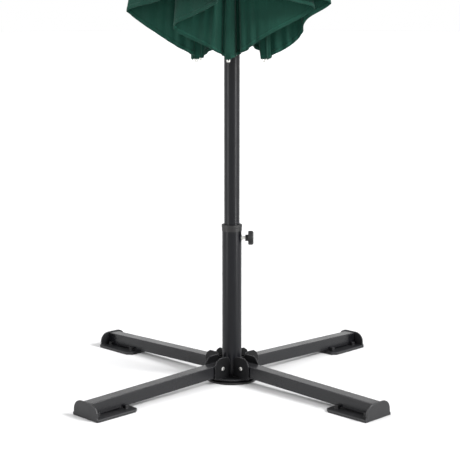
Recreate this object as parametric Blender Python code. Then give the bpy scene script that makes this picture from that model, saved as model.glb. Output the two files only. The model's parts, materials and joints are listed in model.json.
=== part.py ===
"""Patio umbrella on a folding cross base. Metres, +Z up, origin on the floor under the pole."""
import math

import bmesh
import bpy
from mathutils import Matrix, Vector

# Cross base
LEG_REACH = 0.466          # outer face of a foot from the pole axis
LEG_W = 0.030              # square leg tube
LEG_WALL = 0.0015
LEG_Z, LEG_SLOPE = 0.0070, 0.0249   # a leg's underside at its outer end, and its rise inward
LEG_INNER = 0.031          # inner end of a leg from the pole axis
PIVOT_R, PIVOT_Z = 0.049, 0.0365
HUB_R, HUB_Z, HUB_T = 0.063, 0.0085, 0.0040
PAD_R, PAD_T = 0.066, 0.0050
CHEEK_T, CHEEK_GAP = 0.0030, 0.0156
CHEEK_IN, CHEEK_OUT, CHEEK_TOP = 0.0246, 0.0755, 0.0640
FOOT_HALF, FOOT_LEN, FOOT_T = 0.0441, 0.124, 0.0065
END_HALF, END_TOP, END_T, END_R = 0.0412, 0.0390, 0.0042, 0.024
BOLT_R = 0.0030
# Base tube, collar and clamp
TUBE_R, TUBE_WALL, TUBE_TOP = 0.0240, 0.0020, 0.3850
COLLAR_R, COLLAR_TOP = 0.0251, 0.3895
CLAMP_Z, CLAMP_AZ = 0.3555, 45.0
SCREW_R = 0.0040
KNOB_R, KNOB_FROM, KNOB_TO = 0.0175, 0.0400, 0.0530
# Pole
POLE_R, POLE_WALL = 0.0190, 0.0015
POLE_FOOT, POLE_SPLIT, POLE_TOP = 0.0135, 1.2500, 2.1860
# Frame
RIBS = 6
RIB_AZ = -50.0             # first rib
HUB_PIN_R, HUB_PIN_Z = 0.0350, 2.1340
RIB_LEN, TIP_R = 1.3500, 0.0930
RIB_WIDE, RIB_DEEP, RIB_WALL = 0.0100, 0.0160, 0.0010
LUG_AT, LUG_OFF = 0.5000, 0.0150
PIN_R, PIN_FIT = 0.0018, 0.0003
TONGUE_T, SLOT_W = 0.0050, 0.0058
RUNNER_Z = HUB_PIN_Z - 2 * math.hypot(LUG_AT, LUG_OFF) * math.cos(
    math.asin((TIP_R - HUB_PIN_R) / RIB_LEN) - math.atan2(LUG_OFF, LUG_AT))
# Crank
CRANK_Z, CRANK_AZ, CRANK_ARM = 1.0300, -20.0, 0.0550
# Canopy
SHEET_T = 0.0022
SEG = 36                   # sides of the round steel
CLOTH_TOP_Z = 2.1640
MID_LEN = 1.2000

for old in list(bpy.data.objects):
    bpy.data.objects.remove(old)

MATERIALS = {
    "powder_steel": ((0.030, 0.031, 0.034), 0.35, 0.42),
    "dark_plastic": ((0.012, 0.012, 0.013), 0.0, 0.50),
    "zinc_steel": ((0.620, 0.620, 0.600), 1.0, 0.28),
    "green_fabric": ((0.012, 0.085, 0.052), 0.0, 0.85),
}


def face_out(bm):
    bmesh.ops.recalc_face_normals(bm, faces=bm.faces)
    if bm.calc_volume(signed=True) < 0:
        bmesh.ops.reverse_faces(bm, faces=bm.faces)


def new_object(name, bm, slot, smooth=True):
    face_out(bm)
    mesh = bpy.data.meshes.new(name)
    bm.to_mesh(mesh)
    bm.free()
    obj = bpy.data.objects.new(name, mesh)
    bpy.context.collection.objects.link(obj)
    rgb, metal, rough = MATERIALS[slot]
    mat = bpy.data.materials.new(name)
    mat.use_nodes = True
    bsdf = mat.node_tree.nodes["Principled BSDF"]
    bsdf.inputs["Base Color"].default_value = (*rgb, 1.0)
    bsdf.inputs["Metallic"].default_value = metal
    bsdf.inputs["Roughness"].default_value = rough
    mesh.materials.append(mat)
    if smooth:
        for face in mesh.polygons:
            face.use_smooth = True
        mesh.set_sharp_from_angle(angle=math.radians(35))
    return obj


def azimuth(deg):
    return Matrix.Rotation(math.radians(deg), 4, "Z")


def lathe(stations, seg=32, closed=False):
    """Rings of (radius or radius function, z) around Z; a radius of 0 closes an end."""
    bm = bmesh.new()
    rings = []
    for radius, z in stations:
        if radius == 0:
            rings.append([bm.verts.new((0, 0, z))])
            continue
        ring = []
        for k in range(seg):
            a = 2 * math.pi * k / seg
            r = radius(a) if callable(radius) else radius
            ring.append(bm.verts.new((r * math.cos(a), r * math.sin(a), z)))
        rings.append(ring)
    pairs = list(zip(rings, rings[1:] + rings[:1])) if closed else list(zip(rings, rings[1:]))
    for a, b in pairs:
        for k in range(seg):
            j = (k + 1) % seg
            if len(a) == 1:
                bm.faces.new((a[0], b[j], b[k]))
            elif len(b) == 1:
                bm.faces.new((a[k], a[j], b[0]))
            else:
                bm.faces.new((a[k], a[j], b[j], b[k]))
    return bm


def prism(outline, low, high):
    """A flat outline in (x, z), extruded along y from low to high."""
    bm = bmesh.new()
    a = [bm.verts.new((x, low, z)) for x, z in outline]
    b = [bm.verts.new((x, high, z)) for x, z in outline]
    bm.faces.new(a)
    bm.faces.new(list(reversed(b)))
    for k in range(len(a)):
        j = (k + 1) % len(a)
        bm.faces.new((a[k], b[k], b[j], a[j]))
    bmesh.ops.recalc_face_normals(bm, faces=bm.faces)
    return bm


def stacked(outline, sections):
    """A (y, z) outline carried along x; each section is (x, how far the outline pulls in)."""
    bm = bmesh.new()
    mid = (min(z for _, z in outline) + max(z for _, z in outline)) / 2
    rings = []
    for x, pull in sections:
        rings.append([bm.verts.new((x, y * (1 - pull / END_HALF), mid + (z - mid)
                                    * (1 - pull / mid))) for y, z in outline])
    bm.faces.new(rings[0])
    bm.faces.new(list(reversed(rings[-1])))
    for a, b in zip(rings, rings[1:]):
        for k in range(len(a)):
            j = (k + 1) % len(a)
            bm.faces.new((a[k], b[k], b[j], a[j]))
    bmesh.ops.recalc_face_normals(bm, faces=bm.faces)
    return bm


def channel(deep, wide, wall, high, low):
    """A U-section along Z, open towards -x, with square corners."""
    outline = [(-deep, -wide), (deep, -wide), (deep, wide), (-deep, wide), (-deep, wide - wall),
               (deep - wall, wide - wall), (deep - wall, wall - wide), (-deep, wall - wide)]
    bm = bmesh.new()
    a = [bm.verts.new((x, y, low)) for x, y in outline]
    b = [bm.verts.new((x, y, high)) for x, y in outline]
    for k in range(8):
        j = (k + 1) % 8
        bm.faces.new((a[k], a[j], b[j], b[k]))
    for ring in (a, b):
        for quad in ((0, 1, 6, 7), (1, 2, 5, 6), (2, 3, 4, 5)):
            bm.faces.new([ring[q] for q in quad])
    bmesh.ops.recalc_face_normals(bm, faces=bm.faces)
    return bm


def box(low, high):
    return prism([(low[0], low[2]), (high[0], low[2]), (high[0], high[2]), (low[0], high[2])],
                 low[1], high[1])


def rod(radius, start, end, seg=16):
    bm = lathe([(0, 0.0), (radius, 0.0), (radius, 1.0), (0, 1.0)], seg)
    start, end = Vector(start), Vector(end)
    along = end - start
    turn = along.to_track_quat("Z", "Y").to_matrix().to_4x4()
    bm.transform(Matrix.Translation(start) @ turn @ Matrix.Diagonal((1, 1, along.length, 1)))
    return bm


def combine(base, others, operation):
    """Boolean of bmeshes, in order; returns a new bmesh."""
    target = bpy.data.objects.new("work", bpy.data.meshes.new("work"))
    face_out(base)
    base.to_mesh(target.data)
    base.free()
    bpy.context.collection.objects.link(target)
    for other in others:
        cutter = bpy.data.objects.new("cutter", bpy.data.meshes.new("cutter"))
        face_out(other)
        other.to_mesh(cutter.data)
        other.free()
        bpy.context.collection.objects.link(cutter)
        mod = target.modifiers.new("join", "BOOLEAN")
        mod.operation = operation
        mod.solver = "EXACT"
        mod.object = cutter
        bpy.context.view_layer.update()
        done = bpy.data.meshes.new_from_object(
            target.evaluated_get(bpy.context.evaluated_depsgraph_get()))
        target.modifiers.clear()
        target.data = done
        bpy.data.objects.remove(cutter)
    bm = bmesh.new()
    bm.from_mesh(target.data)
    bpy.data.objects.remove(target)
    bmesh.ops.remove_doubles(bm, verts=bm.verts, dist=1e-6)
    bmesh.ops.dissolve_degenerate(bm, edges=bm.edges, dist=1e-7)
    return bm


def placed(bm, matrix):
    bm.transform(matrix)
    return bm


def hexagon(across):
    def radius(a):
        step = math.pi / 3
        return across / 2 / math.cos((a + step / 2) % step - step / 2)
    return radius


# Hub plate, pad, base tube, collar
new_object("hub_pad", lathe([(0, 0), (PAD_R - 0.0015, 0), (PAD_R, 0.0012), (PAD_R, PAD_T - 0.0012),
                             (PAD_R - 0.0015, PAD_T), (PAD_R - 0.0100, PAD_T + 0.0010),
                             (PAD_R - 0.0120, HUB_Z - 0.0003), (0, HUB_Z - 0.0003)], SEG),
           "dark_plastic")
top = HUB_Z + HUB_T
new_object("hub_plate", lathe([(0, HUB_Z), (HUB_R - 0.0015, HUB_Z), (HUB_R, HUB_Z + 0.001),
                               (HUB_R, top - 0.001), (HUB_R - 0.001, top), (0, top)], 48),
           "powder_steel")
tube = lathe([(TUBE_R, top + 0.0003), (TUBE_R, TUBE_TOP), (TUBE_R - TUBE_WALL, TUBE_TOP),
              (TUBE_R - TUBE_WALL, top + 0.0003)], SEG, closed=True)
hole = placed(rod(0.0056, (0.015, 0, CLAMP_Z), (0.030, 0, CLAMP_Z), 24), azimuth(CLAMP_AZ))
new_object("base_tube", combine(tube, [hole], "DIFFERENCE"), "powder_steel")
new_object("collar", lathe([
    (POLE_R + 0.0004, 0.3640), (0.0216, 0.3640), (0.0217, TUBE_TOP + 0.0003),
    (TUBE_R + 0.0003, TUBE_TOP + 0.0003), (TUBE_R + 0.0003, 0.3735), (COLLAR_R - 0.0004, 0.3735),
    (COLLAR_R - 0.0004, 0.3822), (COLLAR_R + 0.0002, 0.3830), (COLLAR_R + 0.0002, COLLAR_TOP - 0.001),
    (COLLAR_R - 0.0008, COLLAR_TOP), (POLE_R + 0.0004, COLLAR_TOP)], SEG, closed=True), "dark_plastic")

# Clamp insert, screw and knob, made along Z and laid along the clamp direction
clamp = azimuth(CLAMP_AZ) @ Matrix.Translation((0, 0, CLAMP_Z)) @ Matrix.Rotation(
    math.pi / 2, 4, "Y")
new_object("clamp_insert", placed(lathe([
    (SCREW_R + 0.0003, 0.0212), (0.0052, 0.0212), (0.0052, 0.0243), (0.0068, 0.0243),
    (0.0068, 0.0256), (SCREW_R + 0.0003, 0.0256)], 16, closed=True), clamp), "zinc_steel")
new_object("clamp_screw", placed(lathe([
    (0, 0.0193), (SCREW_R - 0.001, 0.0193), (SCREW_R, 0.0203), (SCREW_R, 0.0470),
    (0, 0.0470)], 16), clamp), "zinc_steel")


def lobed(radius, depth=0.0013, count=8):
    return lambda a: radius - depth * (0.5 - 0.5 * math.cos(count * a)) ** 2


new_object("knob", placed(lathe([
    (0, 0.0474), (SCREW_R + 0.0003, 0.0474), (SCREW_R + 0.0003, 0.0328), (0.0072, 0.0328),
    (0.0080, 0.0336), (0.0080, KNOB_FROM), (lobed(KNOB_R - 0.0016), KNOB_FROM),
    (lobed(KNOB_R), KNOB_FROM + 0.0018), (lobed(KNOB_R), KNOB_TO - 0.0030),
    (lobed(KNOB_R - 0.0025), KNOB_TO),
    (0.0100, KNOB_TO), (0, KNOB_TO - 0.0009)], 32), clamp),
    "dark_plastic")

# Brackets, pivot bolts, legs and feet
for n, az in enumerate((0, 90, 180, 270), 1):
    turn = azimuth(az)
    cheek = [(CHEEK_IN, top + 0.0003), (CHEEK_OUT - 0.002, top + 0.0003),
             (CHEEK_OUT, top + 0.0023), (CHEEK_OUT, 0.0470), (0.0690, 0.0580),
             (0.0600, CHEEK_TOP), (0.0360, CHEEK_TOP), (0.0290, 0.0605), (CHEEK_IN, 0.0530)]
    whole = prism(cheek, -CHEEK_GAP - CHEEK_T, CHEEK_GAP + CHEEK_T)
    inside = box((CHEEK_IN + 0.0028, -CHEEK_GAP, 0), (0.1, CHEEK_GAP, 0.1))
    bore = rod(BOLT_R + 0.0003, (PIVOT_R, -0.03, PIVOT_Z), (PIVOT_R, 0.03, PIVOT_Z), 14)
    new_object(f"leg_bracket_{n}", placed(combine(whole, [inside, bore], "DIFFERENCE"), turn),
               "powder_steel")

    face = CHEEK_GAP + CHEEK_T + 0.0003
    bolt = lathe([(0, -face - 0.0034), (0.0036, -face - 0.0030),
                  (0.0056, -face), (BOLT_R, -face), (BOLT_R, face), (hexagon(0.0100), face),
                  (hexagon(0.0100), face + 0.0040), (0, face + 0.0046)],
                 12)
    across = Matrix.Translation((PIVOT_R, 0, PIVOT_Z)) @ Matrix.Rotation(math.pi / 2, 4, "X")
    if n in (1, 3):
        across = across @ Matrix.Rotation(math.pi, 4, "X")
    new_object(f"pivot_bolt_{n}", placed(bolt, turn @ across), "zinc_steel")

    end = LEG_REACH - END_T - 0.0004
    half = LEG_W / 2

    def under(x, up=0.0):
        return x, LEG_Z + LEG_SLOPE * (end - x) + up

    side = [under(PIVOT_R + 0.001), under(end), under(end, LEG_W), under(LEG_INNER, LEG_W),
            (LEG_INNER, PIVOT_Z - 0.0040), (0.0350, PIVOT_Z - 0.0120)]
    bar = prism(side, -half, half)
    bmesh.ops.bevel(bar, geom=[e for e in bar.edges if abs(e.verts[0].co.y - e.verts[1].co.y) < 1e-6
                               and e.calc_length() > 0.2], offset=0.0014, segments=2,
                    profile=0.5, affect="EDGES")
    hollow = prism([under(0, LEG_WALL), under(0.6, LEG_WALL), under(0.6, LEG_W - LEG_WALL),
                    under(0, LEG_W - LEG_WALL)], LEG_WALL - half, half - LEG_WALL)
    bore = rod(BOLT_R + 0.0003, (PIVOT_R, -0.03, PIVOT_Z), (PIVOT_R, 0.03, PIVOT_Z), 14)
    new_object(f"leg_{n}", placed(combine(bar, [hollow, bore], "DIFFERENCE"), turn),
               "powder_steel")

    plan = [(LEG_REACH - 0.0022, -FOOT_HALF), (LEG_REACH - FOOT_LEN + 0.012, -FOOT_HALF),
            (LEG_REACH - FOOT_LEN, -FOOT_HALF + 0.010), (LEG_REACH - FOOT_LEN, FOOT_HALF - 0.010),
            (LEG_REACH - FOOT_LEN + 0.012, FOOT_HALF), (LEG_REACH - 0.0022, FOOT_HALF)]
    flange = prism(plan, 0, FOOT_T)
    flange.transform(Matrix(((1, 0, 0, 0), (0, 0, 1, 0), (0, 1, 0, 0), (0, 0, 0, 1))))
    bmesh.ops.recalc_face_normals(flange, faces=flange.faces)
    bmesh.ops.bevel(flange, geom=[e for e in flange.edges if min(v.co.z for v in e.verts) > FOOT_T
                                  - 1e-6], offset=0.0015, segments=1, affect="EDGES")
    arc = [(math.radians(a), s) for s in (1, -1) for a in ((0, 15, 30, 45, 60, 75, 90) if s == 1
                                                           else (90, 75, 60, 45, 30, 15, 0))]
    profile = [(END_HALF + 0.0029, 0.0003), (END_HALF + 0.0029, 0.0061), (END_HALF, 0.009)]
    profile += [(s * (END_HALF - END_R + END_R * math.cos(a)), END_TOP - END_R
                 + END_R * math.sin(a)) for a, s in arc]
    profile += [(-END_HALF, 0.009), (-END_HALF - 0.0029, 0.0061), (-END_HALF - 0.0029, 0.0003)]
    plate = stacked(profile, [(LEG_REACH - END_T, 0.0), (LEG_REACH - 0.0009, 0.0),
                              (LEG_REACH, 0.0009)])
    plug = box((LEG_REACH - 0.030, LEG_WALL + 0.0004 - half,
                under(LEG_REACH - 0.030)[1] + LEG_WALL + 0.0004),
               (LEG_REACH - END_T + 0.001, half - LEG_WALL - 0.0004,
                LEG_Z + LEG_W - LEG_WALL - 0.0006))
    parts = [plate, plug]
    for x in (LEG_REACH - 0.020, LEG_REACH - 0.104):
        for s in (1, -1):
            y0, y1 = sorted((s * (half + 0.0004), s * (half + 0.0090)))
            parts.append(box((x - 0.0045, y0, FOOT_T - 0.001), (x + 0.0045, y1, 0.0145)))
    new_object(f"foot_{n}", placed(combine(flange, parts, "UNION"), turn), "dark_plastic")

# Pole
inner = POLE_R - POLE_WALL
new_object("pole_lower", lathe([(POLE_R, POLE_FOOT), (POLE_R, POLE_SPLIT), (inner, POLE_SPLIT),
                                (inner, POLE_FOOT)], SEG, closed=True), "powder_steel")
swage = inner - 0.0003
new_object("pole_upper", lathe([
    (swage, POLE_SPLIT - 0.09), (swage, POLE_SPLIT + 0.0005), (POLE_R, POLE_SPLIT + 0.0012),
    (POLE_R, POLE_TOP), (inner - 0.0012, POLE_TOP), (inner - 0.0012, POLE_SPLIT + 0.003),
    (swage - 0.0012, POLE_SPLIT - 0.003), (swage - 0.0012, POLE_SPLIT - 0.09)], SEG, closed=True),
    "powder_steel")


def spider(z, outer, low, high, collar_low, collar_high, pin_z):
    """Slotted ring on the pole with a pin across each slot."""
    bore = POLE_R + 0.0004
    bm = lathe([(bore, z + collar_low), (0.0262, z + collar_low), (0.0262, z + low),
                (outer - 0.001, z + low), (outer, z + low + 0.001), (outer, z + high - 0.001),
                (outer - 0.001, z + high), (0.0262, z + high), (0.0262, z + collar_high),
                (bore, z + collar_high)], SEG, closed=True)
    slots, pins = [], []
    for k in range(RIBS):
        turn = azimuth(RIB_AZ + 360 / RIBS * k)
        slots.append(placed(box((0.0268, -SLOT_W / 2, z + low - 0.01),
                                (0.06, SLOT_W / 2, z + high + 0.01)), turn))
        pins.append(placed(rod(PIN_R, (HUB_PIN_R, -SLOT_W / 2 - 0.001, pin_z),
                               (HUB_PIN_R, SLOT_W / 2 + 0.001, pin_z), 10), turn))
    return combine(combine(bm, slots, "DIFFERENCE"), pins, "UNION")


new_object("top_hub", spider(HUB_PIN_Z, 0.0430, -0.0085, 0.0085, -0.0180, 0.0150, HUB_PIN_Z),
           "dark_plastic")
new_object("runner", spider(RUNNER_Z, 0.0430, -0.0085, 0.0085, -0.0350, 0.0150, RUNNER_Z),
           "dark_plastic")
new_object("finial", lathe([
    (0, POLE_TOP + 0.030 + 0.0175), (0.0050, POLE_TOP + 0.0470), (0.0098, POLE_TOP + 0.0430),
    (0.0128, POLE_TOP + 0.0360), (0.0128, POLE_TOP + 0.0300), (0.0100, POLE_TOP + 0.0230),
    (0.0080, POLE_TOP + 0.0190), (0.0100, POLE_TOP + 0.0150), (0.0320, POLE_TOP + 0.0118),
    (0.0560, POLE_TOP + 0.0045), (0.0660, POLE_TOP - 0.0045), (0.0690, POLE_TOP - 0.0360),
    (0.0662, POLE_TOP - 0.0360), (0.0636, POLE_TOP - 0.0070), (0.0540, POLE_TOP + 0.0008),
    (0.0155, POLE_TOP + 0.0008), (0.0155, POLE_TOP - 0.0300), (0, POLE_TOP - 0.0300)], 44),
    "dark_plastic")

# Crank housing with its arm and grip
shell = lathe([(POLE_R + 0.0004, -0.048), (0.0290, -0.048), (0.0310, -0.044), (0.0310, 0.036),
               (0.0270, 0.044), (POLE_R + 0.0004, 0.044)], SEG, closed=True)
boss = placed(rod(0.0150, (0.022, 0, 0), (0.0345, 0, 0), 28), Matrix.Identity(4))
socket = rod(0.0053, (0.0250, 0, 0), (0.060, 0, 0), 20)
lift = azimuth(CRANK_AZ) @ Matrix.Translation((0, 0, CRANK_Z))
new_object("crank_housing", placed(combine(combine(shell, [boss], "UNION"), [socket],
                                           "DIFFERENCE"), lift), "dark_plastic")
arm = rod(0.0050, (0.0256, 0, 0), (0.0385, 0, 0), 20)
bar = box((0.0350, -0.0055, -CRANK_ARM - 0.004), (0.0410, 0.0055, 0.0075))
peg = rod(0.0030, (0.0400, 0, -CRANK_ARM), (0.0720, 0, -CRANK_ARM), 16)
new_object("crank_arm", placed(combine(arm, [bar, peg], "UNION"), lift), "powder_steel")
grip = lathe([(0, 0.0725), (0.0033, 0.0725), (0.0033, 0.0415), (0.0075, 0.0415),
              (0.0090, 0.0440), (0.0090, 0.0700), (0.0070, 0.0745), (0, 0.0755)], 16)
grip.transform(Matrix.Translation((0, 0, -CRANK_ARM)) @ Matrix.Rotation(math.pi / 2, 4, "Y"))
new_object("crank_grip", placed(grip, lift), "dark_plastic")

# Ribs and struts, made in the (outward, up) plane of the first azimuth
splay = math.asin((TIP_R - HUB_PIN_R) / RIB_LEN)
hang = Matrix.Translation((HUB_PIN_R, 0, HUB_PIN_Z)) @ Matrix.Rotation(-splay, 4, "Y")
lug_angle = math.atan2(LUG_OFF, LUG_AT)
strut_len = math.hypot(LUG_AT, LUG_OFF)
joint = hang @ Vector((-LUG_OFF, 0, -LUG_AT))
lean = splay - lug_angle
reach = Matrix.Translation(joint) @ Matrix.Rotation(lean, 4, "Y")
for n in range(RIBS):
    turn = azimuth(RIB_AZ + 360 / RIBS * n)
    deep, wide = RIB_DEEP / 2, RIB_WIDE / 2
    bar = channel(deep, wide, RIB_WALL, -0.022, -RIB_LEN + 0.0160)
    tongue = prism([(-0.0065, -0.030), (deep - 0.0004, -0.030), (deep - 0.0004, -0.024),
                    (0.0065, 0.0), (0.0046, 0.0046), (0.0, 0.0065), (-0.0046, 0.0046),
                    (-0.0065, 0.0)], -TONGUE_T / 2, TONGUE_T / 2)
    lug = prism([(deep - 0.0004, -LUG_AT + 0.020), (-deep * 0.5, -LUG_AT + 0.020),
                 (-LUG_OFF - 0.002, -LUG_AT + 0.005), (-LUG_OFF - 0.0045, -LUG_AT),
                 (-LUG_OFF - 0.002, -LUG_AT - 0.005), (-deep * 0.5, -LUG_AT - 0.020),
                 (deep - 0.0004, -LUG_AT - 0.020)], -0.0015, 0.0015)
    eye = rod(PIN_R + PIN_FIT, (0, -0.01, 0), (0, 0.01, 0), 12)
    eye2 = rod(PIN_R + PIN_FIT, (-LUG_OFF, -0.01, -LUG_AT), (-LUG_OFF, 0.01, -LUG_AT), 12)
    rib = combine(combine(bar, [tongue, lug], "UNION"), [eye, eye2], "DIFFERENCE")
    new_object(f"rib_{n + 1}", placed(rib, turn @ hang), "powder_steel")
    tip = lathe([(0, -RIB_LEN), (0.0030, -RIB_LEN + 0.0004), (0.0046, -RIB_LEN + 0.0030),
                 (0.0046, -RIB_LEN + 0.0156), (0, -RIB_LEN + 0.0156)], 10)
    new_object(f"rib_tip_{n + 1}", placed(tip, turn @ hang), "zinc_steel")

    cheeks = prism([(-0.0033, 0.0046), (0.0033, 0.0046), (0.0050, 0.0010),
                    (0.0052, -strut_len + 0.022), (-0.0052, -strut_len + 0.022),
                    (-0.0050, 0.0010)], -0.0042, 0.0042)
    fork = box((-0.02, -0.0019, -0.030), (0.02, 0.0019, 0.02))
    foot = prism([(-0.0050, -strut_len + 0.026), (0.0050, -strut_len + 0.026),
                  (0.0060, -strut_len), (0.0042, -strut_len - 0.0042),
                  (0.0, -strut_len - 0.0060), (-0.0042, -strut_len - 0.0042),
                  (-0.0060, -strut_len)], -TONGUE_T / 2, TONGUE_T / 2)
    eye = rod(PIN_R + PIN_FIT, (0, -0.01, -strut_len), (0, 0.01, -strut_len), 12)
    pin = rod(PIN_R, (0, -0.0038, 0), (0, 0.0038, 0), 10)
    strut = combine(combine(combine(cheeks, [foot], "UNION"), [fork, eye], "DIFFERENCE"),
                    [pin], "UNION")
    new_object(f"strut_{n + 1}", placed(strut, turn @ reach), "powder_steel")

# Closed canopy: each panel is folded between two ribs; straight lines run from hem to apex
HALF_HEM = 0.6900


def canopy_panel(name, az):
    """A thin folded lobe; folds are listed as (hem length, radius, angle from the first rib)."""
    folds = [(0.004, 0.1020, 2.0), (0.230, 0.2200, -4.0), (0.420, 0.1180, 15.0),
             (0.690, 0.2380, 25.0), (0.960, 0.1180, 34.0), (1.150, 0.2200, 44.0),
             (1.376, 0.1020, 53.0)]
    hem = []
    for (s0, r0, a0), (s1, r1, a1) in zip(folds, folds[1:]):
        for k in range(2):
            t = k / 2
            hem.append((s0 + (s1 - s0) * t, r0 + (r1 - r0) * t, a0 + (a1 - a0) * t))
    hem.append(folds[-1])
    levels = (0.0, 0.3, 0.65, 1.0)
    bm = bmesh.new()
    grid = []
    for s, r, a in hem:
        length = math.hypot(MID_LEN, HALF_HEM - s)
        low = CLOTH_TOP_Z - math.sqrt(length ** 2 - r ** 2)
        column = []
        for t in levels:
            rad = 0.0460 + (r - 0.0460) * t ** 0.9
            z = CLOTH_TOP_Z + (low - CLOTH_TOP_Z) * t
            aa = math.radians(az + a + (30.0 - a) * 0.12 * (1 - t))
            column.append(Vector((rad * math.cos(aa), rad * math.sin(aa), z)))
        grid.append(column)
    rows, cols = len(grid), len(levels)
    sides = []
    for sign in (0.5, -0.5):
        layer = []
        for i in range(rows):
            layer.append([])
            for j in range(cols):
                along = grid[min(i + 1, rows - 1)][j] - grid[max(i - 1, 0)][j]
                normal = Vector((along.y, -along.x, 0)).normalized()
                layer[-1].append(bm.verts.new(grid[i][j] + normal * SHEET_T * sign))
        sides.append(layer)
    a, b = sides
    for i in range(rows - 1):
        for j in range(cols - 1):
            bm.faces.new((a[i][j], a[i + 1][j], a[i + 1][j + 1], a[i][j + 1]))
            bm.faces.new((b[i][j], b[i][j + 1], b[i + 1][j + 1], b[i + 1][j]))
        bm.faces.new((a[i][0], b[i][0], b[i + 1][0], a[i + 1][0]))
        bm.faces.new((a[i][-1], a[i + 1][-1], b[i + 1][-1], b[i][-1]))
    for i in (0, rows - 1):
        for j in range(cols - 1):
            bm.faces.new((a[i][j], a[i][j + 1], b[i][j + 1], b[i][j]))
    return new_object(name, bm, "green_fabric", smooth=False)


for n in range(RIBS):
    canopy_panel(f"canopy_panel_{n + 1}", RIB_AZ + 360 / RIBS * n)
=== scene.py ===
"""Looks of the patio umbrella: cloth, finishes, floor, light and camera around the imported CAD."""
import json
import math

import bpy
import numpy as np
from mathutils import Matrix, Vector, noise

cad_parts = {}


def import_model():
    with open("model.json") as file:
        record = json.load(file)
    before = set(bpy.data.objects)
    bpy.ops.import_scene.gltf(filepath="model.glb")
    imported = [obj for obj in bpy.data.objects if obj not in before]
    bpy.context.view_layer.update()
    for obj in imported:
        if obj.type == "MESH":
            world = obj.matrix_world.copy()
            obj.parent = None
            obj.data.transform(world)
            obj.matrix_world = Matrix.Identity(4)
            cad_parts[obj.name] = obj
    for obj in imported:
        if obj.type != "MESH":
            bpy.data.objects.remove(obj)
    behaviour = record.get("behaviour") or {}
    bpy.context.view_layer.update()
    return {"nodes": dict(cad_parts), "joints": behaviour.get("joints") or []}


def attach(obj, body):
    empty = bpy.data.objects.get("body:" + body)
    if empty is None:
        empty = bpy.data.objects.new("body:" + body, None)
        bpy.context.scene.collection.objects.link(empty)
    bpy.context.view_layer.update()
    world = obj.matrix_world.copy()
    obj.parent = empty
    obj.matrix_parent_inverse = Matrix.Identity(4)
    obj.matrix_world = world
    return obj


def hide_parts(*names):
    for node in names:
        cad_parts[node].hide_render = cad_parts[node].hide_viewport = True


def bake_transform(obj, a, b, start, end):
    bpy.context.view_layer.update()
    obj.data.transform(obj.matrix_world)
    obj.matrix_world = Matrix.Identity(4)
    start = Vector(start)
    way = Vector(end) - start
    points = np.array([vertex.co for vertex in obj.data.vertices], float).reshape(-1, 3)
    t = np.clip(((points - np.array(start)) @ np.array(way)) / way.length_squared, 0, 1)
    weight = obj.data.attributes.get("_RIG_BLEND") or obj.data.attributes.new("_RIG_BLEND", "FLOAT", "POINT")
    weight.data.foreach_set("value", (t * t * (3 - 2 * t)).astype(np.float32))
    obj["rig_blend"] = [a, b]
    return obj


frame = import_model()
NODES = frame["nodes"]

# Frame of the canopy, in metres and degrees
RIBS = 6
RIB_AZ = -50.0
HINGE_R, HINGE_Z = 0.035, 2.134
RIB_LEN, TIP_R = 1.350, 0.093
OPEN_DEG = 68.0
CROWN_RISE = 0.020         # open cloth's peak above the rib hinges
CLOTH_T = 0.0009
RIB_CLEAR = 0.0100         # cloth's mid-surface outside a rib's middle
RIB_WIDE, RIB_DEEP = 0.0100, 0.0160
SPLAY = math.asin((TIP_R - HINGE_R) / RIB_LEN)


# ---------------------------------------------------------------- small helpers
def vec(*v):
    return np.array(v, float)


def outward(az):
    return vec(math.cos(az), math.sin(az), 0)


def sideways(az):
    return vec(-math.sin(az), math.cos(az), 0)


def turn(axis, angle, points, centre):
    """Rodrigues' rotation of an array of points; angle may be an array."""
    axis = np.asarray(axis, float) / np.linalg.norm(axis)
    rel = np.asarray(points, float) - centre
    angle = np.asarray(angle, float)[..., None]
    return (centre + rel * np.cos(angle) + np.cross(axis, rel) * np.sin(angle)
            + axis * (rel @ axis)[..., None] * (1 - np.cos(angle)))


def bell(x, reach):
    """1 at x = 0, falling off smoothly over about the reach."""
    return np.exp(-(x / reach) ** 2)


def noise_grid(a, b, scale_a, scale_b, offset):
    """Noise in -1 to 1 over two grids of lengths."""
    return np.array([[noise.noise(Vector((x * scale_a, y * scale_b, offset)))
                      for x, y in zip(row_a, row_b)] for row_a, row_b in zip(a, b)])


def link(mesh, name, material, smooth=True):
    obj = bpy.data.objects.new(name, mesh)
    bpy.context.collection.objects.link(obj)
    mesh.materials.append(material)
    if smooth:
        mesh.polygons.foreach_set("use_smooth", [True] * len(mesh.polygons))
    return obj


# ---------------------------------------------------------------- materials
EDGE_TURN = (0.995, 0.90)   # cosines between which a turning normal counts as an edge


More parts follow.
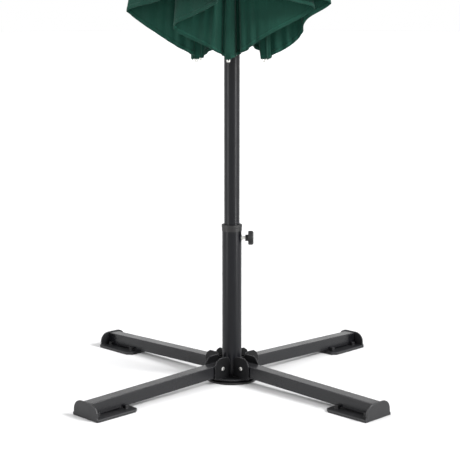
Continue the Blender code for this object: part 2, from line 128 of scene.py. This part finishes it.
class Nodes:
    """A Principled material and short ways to wire it."""

    def __init__(self, name, rgb, rough, metallic=0.0, **sockets):
        self.mat = bpy.data.materials.new(name)
        self.mat.use_nodes = True
        self.tree = self.mat.node_tree
        self.bsdf = self.tree.nodes["Principled BSDF"]
        self.bsdf.inputs["Base Color"].default_value = (*rgb, 1)
        self.bsdf.inputs["Roughness"].default_value = rough
        self.bsdf.inputs["Metallic"].default_value = metallic
        for key, value in sockets.items():
            self.bsdf.inputs[key.replace("_", " ")].default_value = value
        coord = self.tree.nodes.new("ShaderNodeTexCoord")
        self.object, self.uv = coord.outputs["Object"], coord.outputs["UV"]
        self.normal = None

    def put(self, value, socket):
        if isinstance(value, bpy.types.NodeSocket):
            self.tree.links.new(value, socket)
        else:
            socket.default_value = value

    def math(self, kind, a, b=0.0):
        node = self.tree.nodes.new("ShaderNodeMath")
        node.operation = kind
        for socket, value in zip(node.inputs, (a, b)):
            self.put(value, socket)
        return node.outputs[0]

    def noise(self, scale, detail=2.0, stretch=None):
        node = self.tree.nodes.new("ShaderNodeTexNoise")
        node.inputs["Scale"].default_value = scale
        node.inputs["Detail"].default_value = detail
        source = self.object
        if stretch:
            mapping = self.tree.nodes.new("ShaderNodeMapping")
            mapping.inputs["Scale"].default_value = stretch
            self.put(source, mapping.inputs["Vector"])
            source = mapping.outputs[0]
        self.put(source, node.inputs["Vector"])
        return node.outputs["Fac"]

    def facing_up(self):
        geometry = self.tree.nodes.new("ShaderNodeNewGeometry")
        return self.split(geometry.outputs["Normal"])[2]

    def split(self, source):
        node = self.tree.nodes.new("ShaderNodeSeparateXYZ")
        self.put(source, node.inputs[0])
        return node.outputs

    def ramp(self, value, low, high, a=0.0, b=1.0):
        node = self.tree.nodes.new("ShaderNodeMapRange")
        for key, val in zip(("From Min", "From Max", "To Min", "To Max"), (low, high, a, b)):
            node.inputs[key].default_value = val
        self.put(value, node.inputs["Value"])
        return node.outputs[0]

    def mix(self, fac, a, b):
        node = self.tree.nodes.new("ShaderNodeMix")
        node.data_type = "RGBA"
        self.put(fac, node.inputs["Factor"])
        for key, rgb in (("A", a), ("B", b)):
            self.put(rgb if isinstance(rgb, bpy.types.NodeSocket) else (*rgb, 1), node.inputs[key])
        return node.outputs["Result"]

    def bevel(self, radius):
        """Rounds edges in shading and returns how near an edge each point is."""
        node = self.tree.nodes.new("ShaderNodeBevel")
        node.samples = 4
        node.inputs["Radius"].default_value = radius
        self.normal = node.outputs[0]
        dot = self.tree.nodes.new("ShaderNodeVectorMath")
        dot.operation = "DOT_PRODUCT"
        self.put(self.normal, dot.inputs[0])
        self.put(self.tree.nodes.new("ShaderNodeNewGeometry").outputs["Normal"], dot.inputs[1])
        return self.ramp(dot.outputs["Value"], *EDGE_TURN)

    def bump(self, height, strength, distance):
        node = self.tree.nodes.new("ShaderNodeBump")
        node.inputs["Strength"].default_value = strength
        node.inputs["Distance"].default_value = distance
        self.put(height, node.inputs["Height"])
        if self.normal is not None:
            self.put(self.normal, node.inputs["Normal"])
        self.normal = node.outputs[0]

    def done(self, color=None, rough=None):
        if color is not None:
            self.put(color, self.bsdf.inputs["Base Color"])
        if rough is not None:
            self.put(rough, self.bsdf.inputs["Roughness"])
        if self.normal is not None:
            self.put(self.normal, self.bsdf.inputs["Normal"])
        return self.mat


def shade(rgb, factor):
    return tuple(c * factor for c in rgb)


# The first colour below is a light grey, painted along powder-coated edges as a highlight
EDGE_HIGHLIGHT_GREY = (0.20, 0.20, 0.21)
DUST = (0.32, 0.32, 0.33)
WHITENED_PLASTIC = (0.10, 0.10, 0.105)
BRIGHT_ZINC, DULL_ZINC = (0.80, 0.80, 0.78), (0.55, 0.54, 0.50)


def powder_coat(name, rgb, rough=0.42, edge=0.0010, dust=0.0, edge_highlight=0.35, shine=0.30):
    """Paint with an orange-peel surface, cloudy tint, faint scuffs and a painted highlight along its edges.
    """
    m = Nodes(name, rgb, rough, Specular_IOR_Level=shine)
    # Painted edge highlight: near edges the paint is mixed towards a light grey, standing in for light
    # caught on the chamfers
    edge_wear_and_highlight = m.math("MULTIPLY", m.bevel(edge), m.ramp(m.noise(90, 3.0), 0.2, 0.7, edge_highlight * 0.3, edge_highlight))
    m.bump(m.noise(1400, 1.0), 0.22, 0.00025)
    m.bump(m.noise(260, 2.0), 0.16, 0.0005)
    tint = m.mix(m.ramp(m.noise(7, 4.0), 0.30, 0.72), shade(rgb, 0.86), shade(rgb, 1.16))
    scuff = m.math("MULTIPLY", m.ramp(m.noise(60, 5.0, (1, 1, 0.18)), 0.66, 0.80), 0.35)
    tint = m.mix(scuff, tint, shade(rgb, 1.9))
    tint = m.mix(edge_wear_and_highlight, tint, EDGE_HIGHLIGHT_GREY)
    if dust:
        film = m.math("MULTIPLY", m.ramp(m.facing_up(), 0.75, 1.0),
                      m.ramp(m.noise(24, 4.0), 0.2, 0.8, dust * 0.6, dust))
        tint = m.mix(film, tint, DUST)
    return m.done(tint, m.ramp(m.noise(18, 3.0), 0.25, 0.75, rough - 0.06, rough + 0.08))


def moulded(name, rgb, rough, edge=0.0008):
    """Fine-grained plastic, whitened at its edges and rubbed in places."""
    m = Nodes(name, rgb, rough, Specular_IOR_Level=0.45)
    edge_wear_and_highlight = m.math("MULTIPLY", m.bevel(edge), 0.25)
    m.bump(m.noise(900, 3.0), 0.28, 0.0003)
    tint = m.mix(m.ramp(m.noise(14, 4.0), 0.3, 0.7), shade(rgb, 0.8), shade(rgb, 1.25))
    tint = m.mix(edge_wear_and_highlight, tint, WHITENED_PLASTIC)
    rubbed = m.math("MULTIPLY", m.ramp(m.noise(140, 4.0), 0.62, 0.75), 0.3)
    return m.done(m.mix(rubbed, tint, shade(rgb, 2.2)),
                  m.ramp(m.noise(40, 3.0), 0.2, 0.8, rough - 0.07, rough + 0.1))


def zinc_plate(name):
    m = Nodes(name, (0.74, 0.74, 0.71), 0.25, 1.0)
    m.bevel(0.0004)
    m.bump(m.noise(1100, 2.0), 0.15, 0.0002)
    tint = m.mix(m.ramp(m.noise(220, 3.0), 0.35, 0.7), BRIGHT_ZINC, DULL_ZINC)
    return m.done(tint, m.ramp(m.noise(160, 2.0), 0.3, 0.7, 0.18, 0.36))


CLOTH = (0.0055, 0.0450, 0.0305)
THREAD = 0.00085            # pitch of the weave, in metres like the rest here
STITCH_ROWS = (0.0072, 0.0088)      # heights above the hem's lower edge
ROW_HALF = 0.00042
STITCH_PITCH, STITCH_SHARE = 0.0034, 0.68


def woven(name, hem=True, rgb=CLOTH):
    """Plain weave in the cloth's own plane: U runs along the hem and V up from it, in metres."""
    m = Nodes(name, rgb, 0.82, Sheen_Weight=0.08, Sheen_Roughness=0.45, Specular_IOR_Level=0.12)
    u, v, _ = m.split(m.uv)
    turns = 2 * math.pi / THREAD
    warp = m.math("SINE", m.math("MULTIPLY", u, turns))
    weft = m.math("SINE", m.math("MULTIPLY", v, turns))
    m.bump(m.noise(38, 4.0, (1, 1, 0.35)), 0.35, 0.003)
    m.bump(m.math("MULTIPLY", warp, weft), 0.35, 0.0002)
    tint = m.mix(m.ramp(m.noise(9, 5.0), 0.3, 0.7), shade(rgb, 0.88), shade(rgb, 1.14))
    slub = m.math("MULTIPLY", m.ramp(m.noise(420, 2.0, (1, 1, 0.05)), 0.55, 0.8), 0.35)
    tint = m.mix(slub, tint, shade(rgb, 1.5))
    if hem:
        for height in STITCH_ROWS:
            off = m.math("ABSOLUTE", m.math("SUBTRACT", v, height))
            row = m.math("LESS_THAN", off, ROW_HALF)
            place = m.math("FRACT", m.math("MULTIPLY", u, 1 / STITCH_PITCH))
            stitch = m.math("MULTIPLY", row, m.math("LESS_THAN", place, STITCH_SHARE))
            tint = m.mix(m.math("MULTIPLY", stitch, 0.55), tint, shade(rgb, 2.4))
            m.bump(stitch, 0.5, 0.0005)
    return m.done(tint)


PAINT = powder_coat("charcoal_powder_coat", (0.0030, 0.0034, 0.0052), rough=0.32, shine=0.24)
LEG_PAINT = powder_coat("charcoal_leg_coat", (0.0050, 0.0052, 0.0066), rough=0.22, edge=0.0014,
                        dust=0.06, shine=0.42)
# The plates get the strongest painted edge highlight
PLATE_PAINT = powder_coat("black_plate_coat", (0.0040, 0.0041, 0.0047), rough=0.44, edge=0.0008,
                          edge_highlight=1.0, shine=0.2)
PLASTIC = moulded("black_moulded_plastic", (0.0055, 0.0055, 0.0060), rough=0.46)
FOOT_PLASTIC = moulded("charcoal_foot_plastic", (0.0055, 0.0057, 0.0070), rough=0.44,
                       edge=0.0012)
ZINC = zinc_plate("bright_zinc_plate")
GREEN = woven("green_woven_polyester")
GREEN_TAPE = woven("green_seam_tape", hem=False, rgb=shade(CLOTH, 0.92))

# The first beginning of a node's name that fits says its material
FINISH = (("leg_bracket", PLATE_PAINT), ("leg_", LEG_PAINT), ("hub_plate", PLATE_PAINT),
          ("foot_", FOOT_PLASTIC), ("pivot_bolt", ZINC), ("rib_tip", ZINC),
          ("clamp_insert", ZINC), ("clamp_screw", ZINC), ("rib_", PAINT), ("strut_", PAINT),
          ("crank_arm", PAINT), ("pole_", PAINT), ("base_tube", PAINT), ("canopy", GREEN),
          ("", PLASTIC))
for node_name, obj in NODES.items():
    for prefix, material in FINISH:
        if node_name.startswith(prefix):
            obj.data.materials.clear()
            obj.data.materials.append(material)
            break


# ---------------------------------------------------------------- canopy cloth
WEIGHT_SPAN, HALVINGS = (-0.6, 1.6), 40     # where blend weights are searched, and how finely


class Sector:
    """The cloth between a rib and the next, in that rib's closed place; k counts ribs from 0."""

    def __init__(self, k):
        self.az = math.radians(RIB_AZ + 360 / RIBS * k)
        self.next = self.az + 2 * math.pi / RIBS
        self.mid = (self.az + self.next) / 2
        joint = next(j for j in frame["joints"] if j["name"] == f"panel_spread_{k + 1}")
        self.centre, self.axis = vec(*joint["pos_m"]), vec(*joint["axis"])
        self.swing = math.radians(joint["range_deg"][1])
        tip = outward(self.az) * TIP_R + vec(0, 0, HINGE_Z - RIB_LEN * math.cos(SPLAY))
        self.tip, self.tip_next = tip, outward(self.next) * TIP_R + vec(0, 0, tip[2])
        self.far = self.back(self.az, self.opened(self.next, self.tip_next))
        self.peak = self.back(self.az, vec(0, 0, HINGE_Z + CROWN_RISE))
        self.width = np.linalg.norm(self.far - tip)

    @staticmethod
    def hinge(az):
        return outward(az) * HINGE_R + vec(0, 0, HINGE_Z)

    def opened(self, az, p):
        return turn(-sideways(az), math.radians(OPEN_DEG), p, self.hinge(az))

    def back(self, az, p):
        return turn(-sideways(az), -math.radians(OPEN_DEG), p, self.hinge(az))

    def hem(self, s):
        return self.tip + (self.far - self.tip) * (s / self.width)[..., None]

    def length(self, s):
        """Length of the taut panel from its peak down to hem length s."""
        return np.linalg.norm(self.hem(s) - self.peak, axis=-1)

    def flat(self, s, t):
        """Where hem length s, share t of the way from peak to hem, lies on the taut panel."""
        return self.peak + (self.hem(s) - self.peak) * t[..., None]

    def closed(self, s, t, w):
        return turn(self.axis, -w * self.swing, self.flat(s, t), self.centre)

    def weight_at(self, s, side):
        """The blend weight that puts hem point s at this sideways distance from mid-sector."""
        low, high = (np.full_like(s, end) for end in WEIGHT_SPAN)
        across, ones = sideways(self.mid), np.ones_like(s)
        middle, last = (self.closed(s, ones, w) @ across for w in ((low + high) / 2, high))
        rising = (last > middle).all()
        for _ in range(HALVINGS):
            half = (low + high) / 2
            here = self.closed(s, ones, half) @ across
            under = here < side if rising else here > side
            low, high = np.where(under, half, low), np.where(under, high, half)
        return (low + high) / 2


def smooth_line(values, passes, ease):
    """Repeated neighbour averaging; ease (0 to 1) holds parts of the line back."""
    values = values.copy()
    for _ in range(passes):
        even = 0.25 * values[:-2] + 0.5 * values[1:-1] + 0.25 * values[2:]
        values[1:-1] += ease[1:-1] * (even - values[1:-1])
    return values


# Where each panel's hem lies when closed, as (hem length from the rib, sideways distance from
# the middle of the sector): from its first rib, from its second rib, and the sideways distance
# of the hem's middle
TIP_SIDE = TIP_R * math.sin(math.pi / RIBS)
LAY = {
    1: ([(0, -TIP_SIDE), (0.022, -0.032), (0.060, -0.010), (0.140, 0.034), (0.190, 0.076),
         (0.223, 0.106), (0.290, 0.150), (0.430, 0.003), (0.560, 0.120)],
        [(0, TIP_SIDE), (0.012, 0.050), (0.045, 0.076), (0.090, 0.106), (0.130, 0.118),
         (0.170, 0.115), (0.212, 0.1095), (0.240, 0.124), (0.305, 0.188), (0.440, 0.062),
         (0.570, 0.172)], 0.052),
    2: ([(0, -TIP_SIDE), (0.160, 0.090), (0.300, -0.036), (0.440, 0.095), (0.580, -0.030)],
        [(0, TIP_SIDE), (0.150, 0.180), (0.300, 0.050), (0.440, 0.176), (0.580, 0.055),
         (0.636, 0.100)], 0.060),
    3: ([(0, -TIP_SIDE), (0.110, 0.055), (0.220, -0.047), (0.330, 0.055), (0.440, -0.047),
         (0.550, 0.055), (0.655, -0.043)],
        [(0, TIP_SIDE), (0.110, 0.148), (0.220, 0.047), (0.330, 0.148), (0.440, 0.040),
         (0.550, 0.138), (0.655, 0.024)], -0.010),
    6: ([(0, -TIP_SIDE), (0.015, -0.033), (0.034, -0.046), (0.060, -0.068), (0.245, -0.200),
         (0.390, -0.054), (0.500, -0.168), (0.610, -0.058)],
        [(0, TIP_SIDE), (0.014, 0.046), (0.040, 0.022), (0.066, 0.020), (0.172, -0.096),
         (0.290, 0.020), (0.370, 0.096), (0.470, -0.012), (0.570, 0.086)], -0.026),
}
for left, right in ((4, 3), (5, 2)):
    first, second, middle = LAY[right]
    LAY[left] = ([(s, -x) for s, x in second], [(s, -x) for s, x in first], -middle)

# Grid of a panel: steps along the hem, and levels as shares of the way from peak to hem
STEPS = 301
CLOTH_FROM = 0.0240         # inner edge, under the cap
LEVELS = np.concatenate([np.linspace(CLOTH_FROM, 0.80, 18), np.linspace(0.80, 0.925, 12)[1:],
                         np.linspace(0.925, 1.0, 26)[1:]])
HEM_DEEP, PANEL_LEN, HEM_TO = 0.0095, 1.30, 1.0006
HEM_LEVELS = np.linspace(1 - HEM_DEEP / PANEL_LEN, HEM_TO, 4)
HEM_LAYERS = 2.1            # thickness of the turned hem, in cloths

# Small folds of the closed cloth. Lengths are in metres: HIGH is the height of a fold, REACH how
# far it spreads from a rib along the hem, and DROP how far up from the hem.
LAY_PASSES, LAY_EASE = 70, (0.12, 0.08)     # smoothing of the lay, less of it beside the ribs
CORNER_TRIM, CORNER_REACH = 0.0042, 0.06    # share by which the corners stop short of the tips
LOOSE_REACH = 0.10
RIPPLE_HIGH, RIPPLE_SCALE = 0.0042, (26, 2.6)
SWAY_HIGH, SWAY_SCALE = 0.010, (5.5, 1.7)
SWAY_WEIGHT, SWAY_DROP = 0.012, 0.25        # sway in the blend weights, and where it is full
SEWN_HALF, SEWN_FADE = 0.006, 0.012         # flat strip sewn to the tape
PUCKER_HIGH, PUCKER_PITCH, PUCKER_REACH, PUCKER_DROP = 0.0016, 0.0165, 0.035, 0.16
GATHER_HIGH, GATHER_PITCH, GATHER_REACH, GATHER_DROP = 0.0042, 0.031, 0.095, 0.55
VALLEY = {1: (0.025, 0.004), 6: (0.004, 0.012)}     # depths beside the first and second rib
VALLEY_ELSE = (0.004, 0.004)
VALLEY_AT, VALLEY_REACH = 0.028, 0.0115


def panel_lay(k, sector):
    first, second, middle = LAY[k]
    width = sector.width
    knots = first + [(width / 2, middle)] + [(width - s, x) for s, x in reversed(second)]
    s = np.linspace(0, width, STEPS)
    side = np.interp(s, [a for a, _ in knots], [b for _, b in knots])
    edge = np.minimum(s, width - s)
    reach, least = LAY_EASE
    return s, smooth_line(side, LAY_PASSES, np.clip(edge / reach, least, 1.0))


def cloth_points(k, sector, levels):
    """Mid-surface points, blend weights, (along, up) lengths and normals of a closed panel."""
    s, side = panel_lay(k, sector)
    weight = sector.weight_at(s, side)
    weight[0], weight[-1] = 0.0, 1.0
    grid_s = np.repeat(s[:, None], len(levels), 1)
    grid_w = np.repeat(weight[:, None], len(levels), 1)
    edge = np.minimum(grid_s, sector.width - grid_s)
    grid_t = levels[None, :] * (1 - CORNER_TRIM * bell(edge, CORNER_REACH))
    up = sector.length(grid_s) * (1 - grid_t)
    ripple = noise_grid(grid_s, up, *RIPPLE_SCALE, k * 7.3)
    sway = noise_grid(grid_s, up, *SWAY_SCALE, k * 3.1 + 40)
    loose = np.clip(edge / LOOSE_REACH, 0, 1)
    grid_w = grid_w + sway * SWAY_WEIGHT * loose * np.clip(up / SWAY_DROP, 0, 1)
    points = sector.closed(grid_s, grid_t, grid_w)
    angle = sector.az + (sector.next - sector.az) * (grid_s / sector.width)
    out = np.stack([np.cos(angle), np.sin(angle), np.zeros_like(angle)], -1)
    points = points + out * RIB_CLEAR
    depth = np.where(grid_s < sector.width / 2, *VALLEY.get(k, VALLEY_ELSE))
    valley = depth * bell(edge - VALLEY_AT, VALLEY_REACH) * (0.2 + 0.8 * grid_t)
    points = points - out * valley[..., None]
    clear = np.clip((edge - SEWN_HALF) / SEWN_FADE, 0, 1)
    pucker = (np.sin(grid_s * 2 * math.pi / PUCKER_PITCH + 3 * ripple)
              * np.exp(-edge / PUCKER_REACH) * np.exp(-up / PUCKER_DROP))
    gather = (np.sin(edge * 2 * math.pi / GATHER_PITCH + 2.2 * sway + k)
              * bell(edge, GATHER_REACH) * (0.25 + 0.75 * bell(up, GATHER_DROP)))
    rise = (ripple * RIPPLE_HIGH * loose + pucker * PUCKER_HIGH * clear
            + gather * GATHER_HIGH * clear + sway * SWAY_HIGH * loose)
    points = points + surface_normal(points) * rise[..., None]
    return points, grid_w, grid_s, up, surface_normal(points)


def surface_normal(points):
    du = np.gradient(points, axis=0)
    dv = np.gradient(points, axis=1)
    n = np.cross(du, dv)
    return n / np.maximum(np.linalg.norm(n, axis=-1), 1e-9)[..., None]


def cut_mesh(name, verts, faces, flat):
    """A mesh whose UVs are each vertex's place in the flat cut, in metres."""
    mesh = bpy.data.meshes.new(name)
    mesh.from_pydata(verts.tolist(), [], faces)
    loops = np.empty(len(mesh.loops), int)
    mesh.loops.foreach_get("vertex_index", loops)
    mesh.uv_layers.new(name="cut").data.foreach_set("uv", flat[loops].ravel())
    mesh.update()
    return mesh


def sheet_mesh(name, points, normal, thickness, along, up):
    """A thin closed skin round a grid of points: all of one side, then all of the other."""
    rows, cols = points.shape[:2]
    skins = [points + normal * thickness / 2, points - normal * thickness / 2]
    verts = np.concatenate([s.reshape(-1, 3) for s in skins])
    idx = np.arange(rows * cols).reshape(rows, cols)
    quad = np.stack([idx[:-1, :-1], idx[1:, :-1], idx[1:, 1:], idx[:-1, 1:]], -1).reshape(-1, 4)
    other = quad[:, ::-1] + rows * cols
    rim = np.concatenate([idx[:, 0], idx[-1, 1:], idx[-2::-1, -1], idx[0, -2:0:-1]])
    after = np.roll(rim, -1)
    wall = np.stack([rim, rim + rows * cols, after + rows * cols, after], -1)
    flat = np.stack([along.ravel(), up.ravel()], -1)
    return cut_mesh(name, verts, np.concatenate([quad, other, wall]).tolist(),
                    np.concatenate([flat, flat]))


def bend(obj, k, weights, sector):
    """Blends a sheet between its own rib and the next, with the cloth's own weights."""
    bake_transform(obj, f"rib_arm_{k}", f"panel_{k}", tuple(sector.tip), tuple(sector.tip_next))
    layer = obj.data.attributes["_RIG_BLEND"]
    layer.data.foreach_set("value", np.tile(weights.ravel(), 2).astype(np.float32))
    obj.data.update()


for k in range(1, RIBS + 1):
    sector = Sector(k - 1)
    points, weights, along, up, normal = cloth_points(k, sector, LEVELS)
    mesh = sheet_mesh(f"cloth_{k}", points, normal, CLOTH_T, along, up)
    cloth = link(mesh, f"cloth_{k}", GREEN)
    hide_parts(f"canopy_panel_{k}")
    bend(cloth, k, weights, sector)

    points, weights, along, up, normal = cloth_points(k, sector, HEM_LEVELS)
    mesh = sheet_mesh(f"hem_{k}", points, normal, CLOTH_T * HEM_LAYERS, along, up)
    hem = link(mesh, f"hem_{k}", GREEN)
    bend(hem, k, weights, sector)


# Tape over each rib, in metres; its ends are shares of the way from peak to rib tip
SEAM_SPAN, SEAM_STEPS = (0.026, 0.9946), 60
SEAM_HALF, SEAM_T = 0.0068, 0.0016
SEAM_RAISE, SEAM_ROUND, SEAM_WAVE = 0.0019, 0.0012, 0.0005

# Sleeve at each rib's end; its ends are measured back from the rib tip
POCKET_SPAN, POCKET_STEPS = (0.070, 0.0068), 15
POCKET_SIDE, POCKET_FACE = 0.0020, 0.0018   # room round the rib
POCKET_SQUARE = 0.55        # 1 is an ellipse, lower is squarer
POCKET_BUMP, POCKET_T, POCKET_GIRTH = 0.0009, 0.0010, 0.056
TAPER_FROM, TAPER_LEN = 0.022, 0.016
MOUTH_HALF_WIDE, MOUTH_HALF_DEEP = 0.0060, 0.0062


def seam_strip(k):
    """Doubled tape sewn over the two panels' meeting edges, along the outside of a rib."""
    sector = Sector(k - 1)
    out = outward(sector.az)
    across = np.linspace(-1, 1, 7)
    along = np.linspace(*SEAM_SPAN, SEAM_STEPS)
    line = sector.peak + (sector.tip - sector.peak) * along[:, None]
    line = line + out * (RIB_CLEAR + SEAM_RAISE)
    length = np.linalg.norm(sector.tip - sector.peak)
    wave = np.array([[noise.noise(Vector((t * length * 20, a * 1.5, k * 5.0))) for a in across]
                     for t in along])
    points = (line[:, None, :] + sideways(sector.az) * (across * SEAM_HALF)[None, :, None]
              + out * (-SEAM_ROUND * across ** 2 + SEAM_WAVE * wave)[..., None])
    up = np.repeat(((1 - along) * length)[:, None], len(across), 1)
    wide = np.repeat((across * SEAM_HALF)[None, :], len(along), 0)
    mesh = sheet_mesh(f"seam_{k}", points, surface_normal(points), SEAM_T, wide, up)
    strip = link(mesh, f"seam_{k}", GREEN_TAPE)
    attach(strip, f"rib_arm_{k}")


def rib_pocket(k):
    """Sewn sleeve the rib's end sits in; only the bright tip shows below it."""
    az = math.radians(RIB_AZ + 360 / RIBS * (k - 1))
    out, side = outward(az), sideways(az)
    down = out * math.sin(SPLAY) - vec(0, 0, math.cos(SPLAY))
    face = np.cross(down, side)
    around = np.linspace(0, 2 * math.pi, 33)[:-1]
    c, s = np.cos(around), np.sin(around)
    half_w, half_d = RIB_WIDE / 2 + POCKET_SIDE, RIB_DEEP / 2 + POCKET_FACE
    along = np.linspace(RIB_LEN - POCKET_SPAN[0], RIB_LEN - POCKET_SPAN[1], POCKET_STEPS)
    rings = []
    for d in along:
        near_tip = np.clip((d - (RIB_LEN - TAPER_FROM)) / TAPER_LEN, 0, 1)
        w = half_w + (MOUTH_HALF_WIDE - half_w) * near_tip
        h = half_d + (MOUTH_HALF_DEEP - half_d) * near_tip
        x = np.sign(c) * np.abs(c) ** POCKET_SQUARE * h
        y = np.sign(s) * np.abs(s) ** POCKET_SQUARE * w
        bump = np.array([noise.noise(Vector((d * 120, math.cos(a) * 2, math.sin(a) * 2 + k)))
                         for a in around]) * POCKET_BUMP
        rings.append(Sector.hinge(az) + down * d + face * (x + bump * np.sign(x))[:, None]
                     + side * (y + bump * np.sign(y))[:, None])
    rings = np.array(rings)
    inward = rings - (Sector.hinge(az) + down * along[:, None])[:, None, :]
    inward = inward / np.linalg.norm(inward, axis=-1)[..., None]
    skins = [rings, rings - inward * POCKET_T]
    verts = np.concatenate([skin.reshape(-1, 3) for skin in skins])
    rows, cols = rings.shape[:2]
    n = rows * cols
    faces = []
    for i in range(rows - 1):
        for j in range(cols):
            a, b = i * cols + j, i * cols + (j + 1) % cols
            faces.append((a, b, b + cols, a + cols))
            faces.append((a + n, a + cols + n, b + cols + n, b + n))
    for i in (0, rows - 1):
        for j in range(cols):
            a, b = i * cols + j, i * cols + (j + 1) % cols
            faces.append((a, a + n, b + n, b) if i == 0 else (a, b, b + n, a + n))
    flat = np.array([(j / cols * POCKET_GIRTH, along[-1] - along[i])
                     for i in range(rows) for j in range(cols)] * 2)
    pocket = link(cut_mesh(f"pocket_{k}", verts, faces, flat), f"pocket_{k}", GREEN)
    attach(pocket, f"rib_arm_{k}")


for k in range(1, RIBS + 1):
    seam_strip(k)
    rib_pocket(k)


# ---------------------------------------------------------------- floor, light, camera
VIEW_AZ = -45.0
DISTANCE, EYE, PITCH = 3.064, 0.8885, 9.515     # metres, metres, degrees down
FOCAL_PX, PAN_PX, FRAME_PX = 1267.0, 1.9, 460   # in pixels of the 460-pixel frame
SENSOR = 36.0               # millimetres
FLOOR_HALF = 60.0
STRIP_WIDE, STRIP_TALL = 0.55, 3.0
STRIP_AWAY, STRIP_UP = 1.9, 1.3

# Brightness of the room as (place, level) stops: by how far up a direction points, and for the
# softboxes by how far to a side and how far up
ROOM_STOPS = ((0.0, 1.0), (0.38, 1.0), (0.46, 0.12), (0.62, 0.12), (0.78, 0.9), (1.0, 0.9))
BOX_SIDE_STOPS = ((0.45, 0.0), (0.75, 1.0))
BOX_UP_STOPS = ((0.38, 0.0), (0.44, 1.0), (0.62, 1.0), (0.72, 0.0))
BOX_LEVEL = 1.1


def floor():
    mesh = bpy.data.meshes.new("floor")
    signs = ((-1, -1), (1, -1), (1, 1), (-1, 1))
    mesh.from_pydata([(x * FLOOR_HALF, y * FLOOR_HALF, 0) for x, y in signs], [], [(0, 1, 2, 3)])
    m = Nodes("pale_floor", (0.74, 0.74, 0.745), 0.7, Specular_IOR_Level=0.1)
    plane = link(mesh, "floor", m.done(), smooth=False)


def world():
    """A studio room: white low walls and ceiling, dark between, softboxes at both sides."""
    w = bpy.data.worlds.new("studio")
    w.use_nodes = True
    tree = w.node_tree
    coord = tree.nodes.new("ShaderNodeTexCoord").outputs["Generated"]
    split = tree.nodes.new("ShaderNodeSeparateXYZ")
    tree.links.new(coord, split.inputs[0])

    def profile(value, stops):
        ramp = tree.nodes.new("ShaderNodeValToRGB")
        tree.links.new(value, ramp.inputs[0])
        while len(ramp.color_ramp.elements) < len(stops):
            ramp.color_ramp.elements.new(0.5)
        for element, (place, level) in zip(ramp.color_ramp.elements, stops):
            element.position, element.color = place, (level, level, level, 1)
        return ramp.outputs[0]

    def calc(kind, a, b):
        node = tree.nodes.new("ShaderNodeMath")
        node.operation = kind
        for socket, value in zip(node.inputs, (a, b)):
            if isinstance(value, bpy.types.NodeSocket):
                tree.links.new(value, socket)
            else:
                socket.default_value = value
        return node.outputs[0]

    room = profile(split.outputs[2], ROOM_STOPS)
    across = tree.nodes.new("ShaderNodeVectorMath")
    across.operation = "DOT_PRODUCT"
    tree.links.new(coord, across.inputs[0])
    across.inputs[1].default_value = tuple(sideways(math.radians(VIEW_AZ)))
    beside = profile(calc("ABSOLUTE", across.outputs["Value"], 0), BOX_SIDE_STOPS)
    box = calc("MULTIPLY", beside, profile(split.outputs[2], BOX_UP_STOPS))
    light = calc("ADD", room, calc("MULTIPLY", box, BOX_LEVEL))
    tree.links.new(light, tree.nodes["Background"].inputs["Strength"])
    tree.nodes["Background"].inputs["Color"].default_value = (1, 1, 1, 1)
    bpy.context.scene.world = w


def sun(name, az, height, strength, spread):
    light = bpy.data.lights.new(name, "SUN")
    light.energy, light.angle = strength, math.radians(spread)
    obj = bpy.data.objects.new(name, light)
    bpy.context.collection.objects.link(obj)
    obj.rotation_euler = (math.radians(90 - height), 0, math.radians(az) + math.pi / 2)


def strip(name, az, power):
    """A tall softbox that only shows as a reflection in round steel."""
    light = bpy.data.lights.new(name, "AREA")
    light.shape, light.energy = "RECTANGLE", power
    light.size, light.size_y = STRIP_WIDE, STRIP_TALL
    obj = bpy.data.objects.new(name, light)
    bpy.context.collection.objects.link(obj)
    obj.location = outward(math.radians(az)) * STRIP_AWAY + vec(0, 0, STRIP_UP)
    obj.rotation_euler = (math.pi / 2, 0, math.radians(az) + math.pi / 2)
    obj.visible_diffuse = obj.visible_camera = False


def camera():
    cam = bpy.data.cameras.new("camera")
    cam.sensor_width = SENSOR
    cam.lens = FOCAL_PX / FRAME_PX * SENSOR
    cam.clip_end = 100
    obj = bpy.data.objects.new("camera", cam)
    bpy.context.collection.objects.link(obj)
    az = math.radians(VIEW_AZ)
    obj.location = (DISTANCE * math.cos(az), DISTANCE * math.sin(az), EYE)
    pan = math.atan(PAN_PX / FOCAL_PX)
    obj.rotation_euler = (math.radians(90 - PITCH), 0, az + math.pi / 2 + pan)
    bpy.context.scene.camera = obj


floor()
world()
camera()
sun("key", VIEW_AZ - 62, height=40, strength=1.0, spread=22)
sun("fill", VIEW_AZ + 66, height=38, strength=3.5, spread=20)
strip("strip_left", VIEW_AZ - 62, power=30)
strip("strip_right", VIEW_AZ + 62, power=45)
bpy.context.scene.view_settings.view_transform = "Standard"
